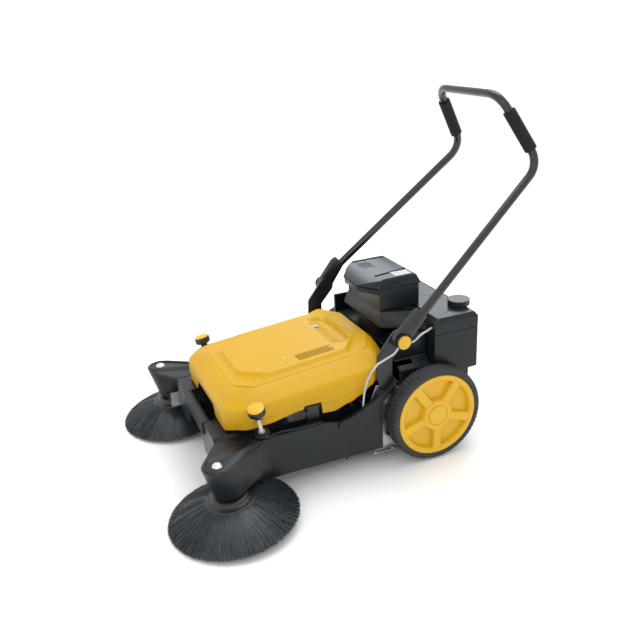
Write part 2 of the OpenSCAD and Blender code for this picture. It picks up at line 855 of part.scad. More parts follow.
// One closed outline of the cover, x to each side and y from front to rear
module cover_ring(x, y0, y1, cut, z) {
    translate([0, y0, z]) rotate([cover_slope, 0, 0]) linear_extrude(1) polygon([[-x + cut, 0], [x - cut, 0],
        [x, cut], [x, y1 - y0 - cut], [x - cut / 2, y1 - y0], [-x + cut / 2, y1 - y0],
        [-x, y1 - y0 - cut], [-x, cut]]);
}

module cover_skin(o) {
    low = 212 - (o > 0 ? 2 : 0);
    hull() {
        cover_ring(240 - o, cover_front + 16 + o, cover_rear - 26 - o, 44, low);
        cover_ring(246 - o, cover_front + o, cover_rear - o, 46, 272 - o);
        cover_ring(186 - o, cover_front + 46 + o, cover_rear - 14 - o, 34, 312 - o);
    }
}

module cover_top(o) {
    hull() {
        cover_ring(176 - o, -336 + o, 62 - o, 80, 309 - o);
        cover_ring(152 - o, -318 + o, 52 - o, 70, 330 - o);
    }
}

module cover() {
    color(yellow) difference() {
        union() {
            cover_skin(0);
            cover_top(0);
            both() x_cyl(hinge_x, hinge_x + knuckle_w, hinge_y, hinge_z, hinge_r);
        }
        cover_skin(cover_wall);
        cover_top(cover_wall);
        // Grip recess at the rear of the raised panel
        translate([-118, 0, 350]) rotate([cover_slope, 0, 0]) cube([212, 52, 40]);
        // Cooling slits
        for (i = [0:slit_count - 1]) box([98, -143 + i * 6.4, 300], [140, -140 + i * 6.4, 400]);
        // Raised arch in the middle of the front lip, and the room for the hinge lugs
        box([-92, -420, 200], [92, -330, 246]);
        box([-hinge_x, hinge_y - 16, 190], [hinge_x, hinge_y + 14, 227]);
        both() box([hinge_x + knuckle_w, hinge_y - 16, 190], [200, hinge_y + 14, 227]);
        both() box([latch_x - 7, latch_y - 27, 190], [260, latch_y + 27, latch_z + 8]);
        x_cyl(-200, 200, hinge_y, hinge_z, pin_r + run);
    }
    // Pan of the grip recess
    color(yellow) difference() {
        translate([-121, -3, 345.5]) rotate([cover_slope, 0, 0]) cube([218, 58, 10]);
        translate([-118, 0, 350]) rotate([cover_slope, 0, 0]) cube([212, 52, 40]);
    }
    // Latch pins
    color(steel) both() translate([latch_x, latch_y - 30, latch_z]) rotate([-90, 0, 0])
        cylinder(r = 1.5, h = 60);
}

latch_x = 239;
latch_y = -151;
latch_z = 242;

module latch() {
    difference() {
        union() {
            translate([latch_x, latch_y - 22, latch_z]) rotate([-90, 0, 0]) cylinder(r = 3.5, h = 44);
            box([latch_x, latch_y - 18, 204], [latch_x + 4, latch_y + 18, latch_z]);
        }
        translate([latch_x, latch_y - 30, latch_z]) rotate([-90, 0, 0]) cylinder(r = 1.5 + run, h = 60);
    }
}

module near_cover_latch() {
    color(dark) latch();
}

module far_cover_latch() {
    color(dark) mirror([1, 0, 0]) latch();
}

// ---------------------------------------------------------------- hopper and electrics

module hopper() {
    w = hopper_w / 2;
    color(black) difference() {
        union() {
            box([-w, box_front, box_low], [w, box_rear, lid_gap_z - 1]);
            box([-hopper_low_x, box_front, 72], [hopper_low_x, box_rear, box_low + 1]);
        }
        box([-w + 4, box_front + 4, box_low + 4], [w - 4, box_rear - 4, 400]);
        box([-hopper_low_x + 4, box_front + 4, 76], [hopper_low_x - 4, box_rear - 4, 300]);
        box([-196, box_front - 5, 100], [196, box_front + 10, 236]);
        box([-40, box_front - 5, 340], [40, box_front + 10, 374]);
        box([-70, box_rear - 3, 300], [70, box_rear + 5, 340]);
    }
}

module shaker_knob() {
    color(dark) translate([shaker[0], shaker[1], 0]) {
        translate([0, 0, deck_z + 0.5]) difference() {
            cylinder(r = 34, h = 17);
            for (a = [0:30:359]) rotate([0, 0, a]) translate([36, 0, 4]) cylinder(r = 4, h = 20);
        }
        translate([0, 0, 400]) cylinder(r = 7, h = 32);
        translate([-12, -80, 413.5]) cube([24, 80, 5]);
    }
}

module battery_lid() {
    color(dark) difference() {
        union() {
            hull() {
                translate([0, 0, lid_z + 0.5]) linear_extrude(6) battery_plan(-3);
                translate([-107, 150, 526]) cube([214, 121, 1]);
            }
            both() x_cyl(45, 65, lid_axis_y, lid_z, 5);
            both() box([45, box_back, lid_z + 0.6], [65, lid_axis_y, lid_z + 5]);
        }
        translate([0, 0, lid_z - 5]) linear_extrude(10) battery_plan(6);
        box([-98, 152, lid_z], [98, 268, 522]);
        both() x_cyl(40, 70, lid_axis_y, lid_z, 2.5 + run);
    }
}

module rocker_switch() {
    color(dark) translate([-59, 140, 465]) rotate([0, 90, 0]) difference() {
        cylinder(r = 7, h = 19, center = true);
        translate([0, 12, 0]) cube([30, 20, 30], center = true);
    }
}

module fan_impeller() {
    color(steel) translate([0, fan_y, 342]) {
        cylinder(r = fan_r - 8, h = 3);
        cylinder(r = 4, h = 52);
        cylinder(r = 10, h = 22);
        for (a = [0:40:359]) rotate([0, 0, a]) translate([9, -1, 2]) cube([fan_r - 19, 2, 18]);
    }
}

caster_r = 26;

module caster_fork() {
    color(zinc) translate([caster[0], caster[1], 0]) {
        translate([0, 0, 54]) cylinder(r = 8, h = 18);
        translate([0, 0, 70]) cylinder(r = 12, h = 4);
        difference() {
            union() {
                translate([-20, -16, 56]) cube([40, 40, 4]);
                both() translate([16, -8, caster_r - 9]) cube([3, 30, 40]);
            }
            x_cyl(-30, 30, 10, caster_r, 4);
        }
        x_cyl(-21, 21, 10, caster_r, 4);
    }
}

module caster_wheel() {
    color(dark) translate([caster[0] - 11, caster[1] + 10, caster_r]) rotate([0, 90, 0]) rotate_extrude()
        polygon([[4 + run, 0], [caster_r - 3, 0], [caster_r, 4], [caster_r, 18], [caster_r - 3, 22],
            [4 + run, 22]]);
}

chassis_tray();
front_beam();
side_plates();
chassis_shroud();
rear_deck();
main_axle();
axle_blocks();
fan_housing();
filter_cartridge();
rear_flap();
battery_box();
battery();
handle_brackets();
idler_brackets();
cables();
chassis_fasteners();
near_drive_belt();
far_drive_belt();
near_arm();
far_arm();
near_tip_bolt();
far_tip_bolt();
near_brush_hub();
far_brush_hub();
near_brush_bristles();
far_brush_bristles();
near_adjuster_knob();
far_adjuster_knob();
near_adjuster_stud();
far_adjuster_stud();
near_tyre();
far_tyre();
near_hub();
far_hub();
drive_gear();
far_drive_pulley();
roller_core();
roller_bristles();
roller_gear();
front_flap();
near_front_idler();
far_front_idler();
near_rear_idler();
far_rear_idler();
handle_tube();
hand_grips();
handle_plates();
near_clamp_knob();
far_clamp_knob();
cover();
near_cover_latch();
far_cover_latch();
hopper();
shaker_knob();
battery_lid();
rocker_switch();
fan_impeller();
flap_lever();
caster_fork();
caster_wheel();
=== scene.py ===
import json
import math
import random

import bmesh
import bpy
from mathutils import Matrix, Vector

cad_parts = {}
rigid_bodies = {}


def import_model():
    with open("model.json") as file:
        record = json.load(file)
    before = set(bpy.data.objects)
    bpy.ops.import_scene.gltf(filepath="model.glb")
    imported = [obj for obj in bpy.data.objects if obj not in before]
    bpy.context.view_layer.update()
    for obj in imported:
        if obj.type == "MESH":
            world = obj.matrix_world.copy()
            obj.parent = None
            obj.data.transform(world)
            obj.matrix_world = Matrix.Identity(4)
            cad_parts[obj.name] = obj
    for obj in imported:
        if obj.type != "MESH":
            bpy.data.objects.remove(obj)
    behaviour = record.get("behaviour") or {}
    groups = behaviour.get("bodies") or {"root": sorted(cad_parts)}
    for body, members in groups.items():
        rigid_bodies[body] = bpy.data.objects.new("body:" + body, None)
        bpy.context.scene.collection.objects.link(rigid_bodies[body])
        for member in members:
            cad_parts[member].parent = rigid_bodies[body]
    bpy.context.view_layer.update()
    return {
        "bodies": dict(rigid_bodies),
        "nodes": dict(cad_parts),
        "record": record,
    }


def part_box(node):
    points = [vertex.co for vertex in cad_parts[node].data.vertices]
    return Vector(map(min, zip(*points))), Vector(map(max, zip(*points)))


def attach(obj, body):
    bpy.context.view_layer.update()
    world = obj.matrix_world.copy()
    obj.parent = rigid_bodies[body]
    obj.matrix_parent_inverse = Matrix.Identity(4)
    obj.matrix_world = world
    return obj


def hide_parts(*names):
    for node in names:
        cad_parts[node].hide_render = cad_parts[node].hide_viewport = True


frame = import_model()
MM = 0.001                      # shapes below are written in millimetres
random.seed(7)
scene = bpy.context.scene


# ---------------------------------------------------------------- camera, light, floor

def make_camera():
    right = Vector((0.3854, 0.9209, -0.0568))
    up = Vector((-0.3445, 0.2007, 0.9171))
    back = Vector((0.856, -0.334, 0.3947))
    data = bpy.data.cameras.new("camera")
    data.sensor_width = 36
    data.lens = 42.13
    data.shift_x = 0.0230
    data.shift_y = 0.0122
    data.clip_end = 100
    camera = bpy.data.objects.new("camera", data)
    scene.collection.objects.link(camera)
    turn = Matrix((right, up, back)).transposed().to_4x4()
    camera.matrix_world = Matrix.Translation((2.0006, -0.8452, 1.3025)) @ turn
    scene.camera = camera


def area_light(name, place, target, size, power, colour):
    data = bpy.data.lights.new(name, "AREA")
    data.shape = "RECTANGLE"
    data.size, data.size_y = size
    data.energy = power
    data.color = colour
    light = bpy.data.objects.new(name, data)
    scene.collection.objects.link(light)
    light.location = place
    light.rotation_euler = (Vector(target) - Vector(place)).to_track_quat("-Z", "Y").to_euler()


def make_lights():
    world = bpy.data.worlds.new("studio")
    scene.world = world
    world.use_nodes = True
    world.node_tree.nodes["Background"].inputs["Color"].default_value = (1.0, 1.0, 1.0, 1)
    world.node_tree.nodes["Background"].inputs["Strength"].default_value = 1.05
    area_light("overhead", (-0.6, 0.6, 3.4), (0, 0, 0), (2.2, 2.2), 46, (0.90, 0.96, 1.0))
    area_light("key", (3.0, -1.6, 2.6), (0, 0, 0.3), (1.6, 1.6), 10, (1.0, 0.97, 0.93))
    area_light("rim", (-2.6, 1.8, 2.2), (0, 0, 0.4), (2.0, 1.2), 26, (0.85, 0.93, 1.0))
    scene.view_settings.view_transform = "Standard"


def make_floor():
    mesh = bpy.data.meshes.new("floor")
    size = 60
    mesh.from_pydata([(-size, -size, 0), (size, -size, 0), (size, size, 0), (-size, size, 0)], [],
                     [(0, 1, 2, 3)])
    floor = bpy.data.objects.new("floor", mesh)
    scene.collection.objects.link(floor)
    mesh.materials.append(surface("floor_paint", (0.95, 0.95, 0.95), (0.97, 0.97, 0.97), 0.6, 30, 0.0001))


# ---------------------------------------------------------------- materials

def node(tree, kind, **values):
    """A shader node with the values of some of its inputs."""
    made = tree.nodes.new(kind)
    for key, value in values.items():
        made.inputs[key].default_value = value
    return made


def surface(name, dark, light, roughness, grain, depth, metallic=0.0, coat=0.0, mottle=14.0,
            spread=0.06, specular=0.5, stretch=(1, 1, 1)):
    """A procedural surface: mottled colour, uneven gloss and a fine grain in relief (depth in metres)."""
    made = bpy.data.materials.new(name)
    made.use_nodes = True
    tree = made.node_tree
    shader = tree.nodes["Principled BSDF"]
    shader.inputs["Metallic"].default_value = metallic
    shader.inputs["Coat Weight"].default_value = coat
    shader.inputs["Coat Roughness"].default_value = 0.12
    shader.inputs["Specular IOR Level"].default_value = specular
    place = node(tree, "ShaderNodeTexCoord")
    scale = node(tree, "ShaderNodeMapping", Scale=stretch)
    tree.links.new(place.outputs["Object"], scale.inputs["Vector"])
    patches = node(tree, "ShaderNodeTexNoise", Scale=mottle, Detail=6.0)
    tree.links.new(scale.outputs["Vector"], patches.inputs["Vector"])
    ramp = node(tree, "ShaderNodeValToRGB")
    ramp.color_ramp.elements[0].position = 0.3
    ramp.color_ramp.elements[0].color = (*dark, 1)
    ramp.color_ramp.elements[1].position = 0.7
    ramp.color_ramp.elements[1].color = (*light, 1)
    tree.links.new(patches.outputs["Fac"], ramp.inputs["Fac"])
    tree.links.new(ramp.outputs["Color"], shader.inputs["Base Color"])
    gloss = node(tree, "ShaderNodeMapRange", **{"To Min": roughness - spread, "To Max": roughness + spread})
    tree.links.new(patches.outputs["Fac"], gloss.inputs["Value"])
    tree.links.new(gloss.outputs["Result"], shader.inputs["Roughness"])
    fine = node(tree, "ShaderNodeTexNoise", Scale=grain, Detail=3.0)
    tree.links.new(scale.outputs["Vector"], fine.inputs["Vector"])
    relief = node(tree, "ShaderNodeBump", Strength=0.6, Distance=depth)
    tree.links.new(fine.outputs["Fac"], relief.inputs["Height"])
    tree.links.new(relief.outputs["Normal"], shader.inputs["Normal"])
    return made


def make_materials():
    made = {
        "body_plastic": surface("body_plastic", (0.0045, 0.0075, 0.0095), (0.008, 0.012, 0.015), 0.30, 900,
                                0.00012, specular=0.34),
        "dark_plastic": surface("dark_plastic", (0.012, 0.013, 0.014), (0.018, 0.019, 0.021), 0.33, 1200,
                                0.0001),
        "yellow_cover": surface("yellow_cover", (0.58, 0.325, 0.006), (0.63, 0.352, 0.008), 0.40, 500,
                                0.00012, mottle=5, specular=0.25),
        "yellow_plastic": surface("yellow_plastic", (0.66, 0.38, 0.006), (0.72, 0.42, 0.010), 0.38, 700,
                                  0.0001, mottle=9),
        "galvanised_steel": surface("galvanised_steel", (0.40, 0.42, 0.43), (0.62, 0.64, 0.66), 0.38, 160,
                                    0.0001, metallic=1.0, mottle=60, spread=0.12),
        "zinc_fasteners": surface("zinc_fasteners", (0.48, 0.48, 0.45), (0.66, 0.66, 0.62), 0.27, 900,
                                  0.00005, metallic=1.0, mottle=80),
        "polished_bolt": surface("polished_bolt", (0.72, 0.73, 0.74), (0.85, 0.86, 0.87), 0.10, 1500,
                                 0.00001, metallic=1.0, spread=0.03),
        "axle_steel": surface("axle_steel", (0.30, 0.31, 0.32), (0.42, 0.43, 0.44), 0.32, 700, 0.00004,
                              metallic=1.0, mottle=40),
        "tyre_rubber": surface("tyre_rubber", (0.016, 0.017, 0.018), (0.026, 0.027, 0.028), 0.62, 1400,
                               0.0002),
        "flap_rubber": surface("flap_rubber", (0.014, 0.014, 0.015), (0.022, 0.022, 0.023), 0.66, 800,
                               0.0002),
        "tube_paint": surface("tube_paint", (0.005, 0.006, 0.008), (0.008, 0.010, 0.013), 0.20, 1200,
                              0.00003, coat=0.3, spread=0.03),
        "grip_foam": surface("grip_foam", (0.010, 0.010, 0.011), (0.017, 0.017, 0.018), 0.85, 1600,
                             0.0008, mottle=60, specular=0.3),
        "bristle": surface("bristle", (0.008, 0.012, 0.017), (0.028, 0.038, 0.048), 0.38, 300, 0.0002,
                           mottle=120, stretch=(1, 1, 0.3)),
        "core_wood": surface("core_wood", (0.30, 0.18, 0.09), (0.46, 0.31, 0.17), 0.5, 240, 0.0002,
                             mottle=60, stretch=(0.06, 1, 1)),
        "filter_fabric": surface("filter_fabric", (0.55, 0.51, 0.43), (0.68, 0.64, 0.56), 0.85, 1200,
                                 0.0003),
        "battery_case": surface("battery_case", (0.035, 0.05, 0.08), (0.05, 0.07, 0.10), 0.4, 900, 0.0001),
        "cable_sheath": surface("cable_sheath", (0.46, 0.48, 0.50), (0.56, 0.58, 0.60), 0.42, 800, 0.0001),
        "label": surface("label", (0.30, 0.36, 0.42), (0.42, 0.48, 0.54), 0.35, 400, 0.00005, mottle=30),
    }
    return made


SOFT = {"hopper": 3, "battery_box": 3, "battery_lid": 3, "rear_deck": 2.5,
        "chassis_shroud": 3, "front_beam": 2.5}    # bevel widths of the larger mouldings


def dress_cad():
    """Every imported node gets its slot's material, welded corners and softened edges."""
    for part in frame["record"]["subparts"]:
        obj = frame["nodes"][part["node"]]
        obj.data.materials.clear()
        obj.data.materials.append(looks[part["material_slot"]])
        if "custom_normal" in obj.data.attributes:
            obj.data.attributes.remove(obj.data.attributes["custom_normal"])
        for face in obj.data.polygons:
            face.use_smooth = True
        weld = obj.modifiers.new("weld", "WELD")
        weld.merge_threshold = 0.00002
        bevel = obj.modifiers.new("bevel", "BEVEL")
        bevel.width = SOFT.get(part["node"], 1.2) * MM
        bevel.use_clamp_overlap = part["node"] not in SOFT
        bevel.segments = 2
        bevel.limit_method = "ANGLE"
        bevel.angle_limit = math.radians(35)
        bevel.harden_normals = True


# ---------------------------------------------------------------- mesh tools

def build(name, points, faces):
    """An object in the scene from points in millimetres."""
    mesh = bpy.data.meshes.new(name)
    mesh.from_pydata([(x * MM, y * MM, z * MM) for x, y, z in points], [], faces)
    obj = bpy.data.objects.new(name, mesh)
    scene.collection.objects.link(obj)
    return obj


def loft(rings, cap_first=False, cap_last=False):
    """Points and quads of a skin over closed rings that hold equally many points."""
    count = len(rings[0])
    faces = []
    for i in range(len(rings) - 1):
        for k in range(count):
            a, b = i * count + k, i * count + (k + 1) % count
            faces.append((a, b, b + count, a + count))
    if cap_first:
        faces.append(tuple(reversed(range(count))))
    if cap_last:
        faces.append(tuple(range((len(rings) - 1) * count, len(rings) * count)))
    return [p for ring in rings for p in ring], faces


def joined(*shapes):
    """Several (points, faces) shapes as one."""
    points, faces = [], []
    for some, more in shapes:
        faces += [tuple(i + len(points) for i in face) for face in more]
        points += some
    return points, faces


def prism(outline, low, high):
    """A flat outline drawn up along Z."""
    return loft([[(x, y, z) for x, y in outline] for z in (low, high)], True, True)


def block(low, high):
    """A box between two corners."""
    (x0, y0, z0), (x1, y1, z1) = low, high
    return prism([(x0, y0), (x1, y0), (x1, y1), (x0, y1)], z0, z1)


def lathe(profile, turn, steps=72, closed=False):
    """(radius, height) points turned about local Z; turn places the result."""
    rings = []
    for k in range(steps):
        a = 2 * math.pi * k / steps
        rings.append([tuple(turn @ Vector((r * math.cos(a), r * math.sin(a), h))) for r, h in profile])
    count = len(profile)
    points = [p for ring in rings for p in ring]
    faces = []
    for k in range(steps):
        low, high = k * count, (k + 1) % steps * count
        for i in range(count if closed else count - 1):
            j = (i + 1) % count
            faces.append((low + i, high + i, high + j, low + j))
    if not closed:
        for i in (0, count - 1):
            faces.append(tuple(k * count + i for k in range(steps)))
    return points, faces


def along(place, direction):
    """A matrix that stands local Z along the direction, at the place."""
    return Matrix.Translation(place) @ Vector(direction).to_track_quat("Z", "Y").to_matrix().to_4x4()


def tube(path, radius, sides=16, taper=None):
    """A round bar swept along points; taper gives each ring's share of the radius."""
    rings = []
    side = None
    for i, here in enumerate(path):
        ahead = Vector(path[min(i + 1, len(path) - 1)]) - Vector(path[max(i - 1, 0)])
        ahead.normalize()
        if side is None:
            side = ahead.orthogonal().normalized()
        side = (side - ahead * side.dot(ahead)).normalized()
        other = ahead.cross(side)
        r = radius * (taper[i] if taper else 1)
        rings.append([tuple(Vector(here) + r * (math.cos(a) * side + math.sin(a) * other))
                      for a in (2 * math.pi * k / sides for k in range(sides))])
    return loft(rings, True, True)


def smooth_path(points, per_span=6):
    """A Catmull-Rom curve through the points."""
    pts = [Vector(p) for p in points]
    pts = [2 * pts[0] - pts[1], *pts, 2 * pts[-1] - pts[-2]]
    made = []
    for i in range(1, len(pts) - 2):
        a, b, c, d = pts[i - 1:i + 3]
        for k in range(per_span):
            t = k / per_span
            made.append(0.5 * (2 * b + (c - a) * t + (2 * a - 5 * b + 4 * c - d) * t ** 2
                               + (3 * b - a - 3 * c + d) * t ** 3))
    made.append(pts[-2])
    return made


def step(low, high, value):
    """A smooth change from 0 at low to 1 at high."""
    t = min(1, max(0, (value - low) / (high - low)))
    return t * t * (3 - 2 * t)


def bevelled(obj, width):
    """Rounds the sharp edges by a width in millimetres."""
    bevel = obj.modifiers.new("bevel", "BEVEL")
    bevel.width = width * MM
    bevel.segments = 3
    bevel.limit_method = "ANGLE"
    bevel.angle_limit = math.radians(30)
    bevel.harden_normals = True


def settle(obj):
    """Applies the modifiers."""
    graph = bpy.context.evaluated_depsgraph_get()
    mesh = bpy.data.meshes.new_from_object(obj.evaluated_get(graph))
    obj.modifiers.clear()
    obj.data = mesh


def piece(obj, body, look, replaces=(), sharp=35):
    """Gives a finished mesh its normals, material, slot and body."""
    mesh = obj.data
    work = bmesh.new()
    work.from_mesh(mesh)
    bmesh.ops.recalc_face_normals(work, faces=work.faces)
    work.to_mesh(mesh)
    work.free()
    for face in mesh.polygons:
        face.use_smooth = True
    mesh.set_sharp_from_angle(angle=math.radians(sharp))
    mesh.materials.clear()
    mesh.materials.append(looks[look])
    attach(obj, body)
    if replaces:
        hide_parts(*replaces)
    return obj


def pair(label, shape, body, look, node=None, sharp=35, bevel=0):
    """A near piece and its mirror image on the far side; body and node are given without their side."""
    points, faces = shape
    for side, sign in (("near", 1), ("far", -1)):
        obj = build(f"{side}_{label}", [(sign * x, y, z) for x, y, z in points], faces)
        if bevel:
            bevelled(obj, bevel)
        piece(obj, body if body in frame["bodies"] else f"{side}_{body}", look,
              [f"{side}_{node}"] if node else (), sharp)


def middle(name):
    """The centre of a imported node, in millimetres."""
    low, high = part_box(name)
    return (low + high) / 2 / MM


# ---------------------------------------------------------------- wheels

AXLE = middle("near_tyre")
TYRE_R = (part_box("near_tyre")[1].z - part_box("near_tyre")[0].z) / 2 / MM
TYRE_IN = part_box("near_tyre")[0].x / MM
TYRE_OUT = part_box("near_tyre")[1].x / MM
WHEEL = Matrix.Translation((0, AXLE.y, AXLE.z)) @ Matrix.Rotation(math.radians(90), 4, "Y")


def tyre():
    """A ring with a rounded wall and transverse lugs cut in its tread."""
    lugs, steps, across = 66, 396, 13
    half = (TYRE_OUT - TYRE_IN) / 2
    centre = TYRE_IN + half
    rings = []
    for k in range(steps):
        turn = k / steps
        ring = []
        for i in range(across):
            w = -1 + 2 * i / (across - 1)
            crown = TYRE_R - 5.5 * abs(w) ** 3.2
            lug = (turn * lugs + 0.55 * abs(w)) % 1
            cut = 2.4 if lug < 0.42 and 0.12 < abs(w) else 0
            groove = 2.0 if 0.02 < abs(abs(w) - 0.2) < 0.1 else 0
            ring.append((crown - max(cut, groove), centre + 0.93 * half * w))
        wall = [(144, half * 0.985), (141, half), (137, half * 0.97), (133, half * 0.93), (128.5, half * 0.9)]
        ring += [(r, centre + h) for r, h in wall]
        ring += [(r, centre - h) for r, h in reversed(wall)]
        a = 2 * math.pi * turn
        rings.append([tuple(WHEEL @ Vector((r * math.cos(a), r * math.sin(a), h))) for r, h in ring])
    count = len(rings[0])
    points = [p for ring in rings for p in ring]
    faces = [(k * count + i, (k + 1) % steps * count + i, (k + 1) % steps * count + (i + 1) % count,
              k * count + (i + 1) % count) for k in range(steps) for i in range(count)]
    return points, faces


def hub_face(r, a):
    """Height of the hub's outer face at radius r and angle a, over the spokes' level."""
    if r < 31:
        return 3.2 - 1.2 * (r / 31) ** 4
    if r < 33.5:
        return -0.6
    if r < 47:
        return 1.4
    nearest = min(range(5), key=lambda k: abs(math.remainder(a - 2 * math.pi * k / 5, 2 * math.pi)))
    off = abs(math.sin(a - 2 * math.pi * nearest / 5)) * r
    ahead = math.cos(a - 2 * math.pi * nearest / 5) * r
    inside = step(13, 17, off) if ahead > 0 else 1
    pocket = inside * step(49, 55, r) * (1 - step(108, 113, r))
    return -15 * pocket - 0.7 * step(9, 13, off) * (1 - pocket) + 2.6 * step(115, 117.5, r)


def hub():
    """Five spokes between deep pockets, one skin from the cap over the rim to the sleeve behind."""
    steps = 300
    level = TYRE_OUT - 1.5
    radii = [4, 12, 20, 27, 30.6, 31, 33.4, 33.6, 40, 46.8, 47.2, 49, 50.5, 52, 53.5, 55, 60, 66, 72, 78, 84,
             90, 96, 102, 106, 108, 109.3, 110.6, 112, 113, 115, 116, 117.5, 121, 125]
    back = [(127.5, 1.6), (129, 0), (129.6, -2), (129.6, -46), (126, -50), (118, -48), (115, -28),
            (40, -24), (20, -30), (17, -34), (17, -70), (10.1, -70), (10.1, -3)]
    points, faces = [], []
    for k in range(steps):
        a = 2 * math.pi * k / steps
        ring = [(r, level + hub_face(r, a)) for r in radii] + [(r, level + h) for r, h in back]
        points += [tuple(WHEEL @ Vector((r * math.cos(a), r * math.sin(a), h))) for r, h in ring]
    count = len(radii) + len(back)
    for k in range(steps):
        low, high = k * count, (k + 1) % steps * count
        faces += [(low + i, high + i, high + i + 1, low + i + 1) for i in range(count - 1)]
    faces.append(tuple(k * count for k in range(steps)))
    faces.append(tuple(k * count + count - 1 for k in range(steps)))
    return points, faces


def make_wheels():
    pair("tyre_tread", tyre(), "wheel", "tyre_rubber", "tyre", 50)
    pair("hub_shell", hub(), "wheel", "yellow_plastic", "hub", 32)


# ---------------------------------------------------------------- side brushes

RIM = Vector((middle("near_brush_bristles").x, -437, 16))
BRUSH = Matrix.Translation(RIM) @ Matrix.Rotation(math.radians(4.4), 4, "X")
BRISTLE_R = 186


def bristles():
    """A ridged under-skin with strands over it."""
    skin = []
    section = ((44, 44), (66, 55), (90, 46), (120, 33), (152, 18.5), (BRISTLE_R - 5, 5), (120, 24), (70, 40))
    for r, h in section:
        skin.append([tuple(BRUSH @ Vector((
            (r + 1.2 * math.sin(90 * a)) * math.cos(a), (r + 1.2 * math.sin(90 * a)) * math.sin(a),
            h + 1.6 * math.sin(90 * a + 2 * math.sin(3 * a)))))
            for a in (2 * math.pi * k / 540 for k in range(540))])
    shapes = [loft(skin + skin[:1])]
    for strand in range(1500):
        a = 2 * math.pi * strand / 1500 + random.uniform(-0.004, 0.004)
        lean = random.gauss(0, 0.022)
        high = random.uniform(0, 5)
        reach = BRISTLE_R - random.uniform(0, 5) ** 1.2
        thick = random.uniform(0.7, 1.15)
        path = []
        for t in (0, 0.3, 0.62, 1):
            r = 62 + (reach - 62) * t
            swing = a + lean * t * t
            h = 57 + high * (1 - t) - 53.5 * (0.72 * t + 0.28 * t * t) + 2.5 * math.sin(math.pi * t)
            path.append(BRUSH @ Vector((r * math.cos(swing), r * math.sin(swing), max(h, 1.5))))
        shapes.append(tube(path, thick, 4, (1.3, 1.15, 1, 0.7)))
    return joined(*shapes)


def brush_hub():
    """Flanged plate that clamps the bristles, pulley and shaft."""
    plate = [(0, 54), (70, 54), (71.5, 56), (71.5, 60), (69.5, 62.5), (66, 63.5), (60, 64), (54, 65.5),
             (51, 68), (50, 73), (49.5, 75.5), (47, 77), (44, 77.6), (40, 77.6), (14, 77.6), (14, 94),
             (31, 94), (31.2, 95.2), (23.6, 97.4), (23.6, 100.6), (31.2, 103), (31, 104), (14, 104),
             (11, 106), (11, 164), (0, 164)]
    plate = [(max(r, 0.5), h) for r, h in plate]
    return lathe(plate, BRUSH, 120)


def make_brushes():
    pair("bristle_ring", bristles(), "brush", "bristle", "brush_bristles", 60)
    pair("brush_plate", brush_hub(), "brush", "dark_plastic", "brush_hub", 40)


# ---------------------------------------------------------------- hand screws and clamp knobs

STUD_TOP = Vector((277, -333, 305))
STUD_LOW = Vector((260, -315, 212))
STUD_AXIS = (STUD_TOP - STUD_LOW).normalized()


def threaded(start, length, radius, pitch, turn=24):
    """A bar with a helical thread, chamfered at both ends."""
    rings = []
    rows = int(length / pitch * 6)
    place = along(start, STUD_AXIS)
    for i in range(rows + 1):
        h = length * i / rows
        end = min(1, 0.7 + 0.3 * min(h, length - h) / pitch)
        ring = []
        for k in range(turn):
            phase = (h / pitch + k / turn) % 1
            r = (radius - 1.1 * abs(2 * phase - 1)) * end
            a = 2 * math.pi * k / turn
            ring.append(tuple(place @ Vector((r * math.cos(a), r * math.sin(a), h))))
        rings.append(ring)
    return loft(rings, True, True)


def make_hand_screws():
    length = (STUD_TOP - STUD_LOW).length
    stud = threaded(STUD_LOW - STUD_AXIS * 41, length + 30, 6, 2.6)
    nut = prism([(11 * math.cos(math.radians(a)), 11 * math.sin(math.radians(a))) for a in range(0, 360, 60)],
                0.3, 8)
    place = along(STUD_LOW, STUD_AXIS)
    nut = [tuple(place @ Vector(p)) for p in nut[0]], nut[1]
    pair("stud_thread", stud, "adjuster", "zinc_fasteners", "adjuster_stud", 30)
    pair("stud_nut", nut, "adjuster", "zinc_fasteners", bevel=0.8)
    head = along(STUD_TOP - STUD_AXIS * 24, STUD_AXIS)
    body = [(6.1, -14), (10.5, -14), (11.5, -12), (12, -3), (14, -1), (22, 0.5), (24.6, 3), (25, 6), (25, 17),
            (24.4, 19.2), (23.6, 20), (6.1, 20)]
    pair("knob_body", lathe(body, head, 72), "adjuster", "dark_plastic", "adjuster_knob", 40)
    cap = [(0.5, 20.2), (23, 20.2), (23.8, 21), (23.6, 22.6), (22, 23.8), (12, 24.5), (0.5, 24.8)]
    pair("knob_cap", lathe(cap, head, 72), "adjuster", "yellow_plastic", None, 40)


def make_clamps():
    mid = middle("near_clamp_knob")
    place = Matrix.Translation((0, mid.y, mid.z)) @ Matrix.Rotation(math.radians(90), 4, "Y")
    face = [(0.5, 291), (19, 291), (20.4, 292), (20.8, 296), (19.8, 298.2), (17, 299), (0.5, 299)]
    rim = [(19.6, 290.4), (21.6, 290.8), (22.6, 292.6), (22.6, 295), (21.8, 296.4), (20.9, 296.4),
           (20.9, 292), (19.6, 291.2)]
    bolt = [(0.5, 244), (4.8, 244), (4.8, 281.6), (9, 281.6), (9, 291), (0.5, 291)]
    pair("clamp_cap", lathe(face, place, 72), "clamp_knob", "yellow_plastic", "clamp_knob", 40)
    pair("clamp_rim", lathe(rim, place, 72, True), "clamp_knob", "dark_plastic", None, 40)
    pair("clamp_bolt", lathe(bolt, place, 48), "clamp_knob", "dark_plastic", None, 40)


# ---------------------------------------------------------------- cover

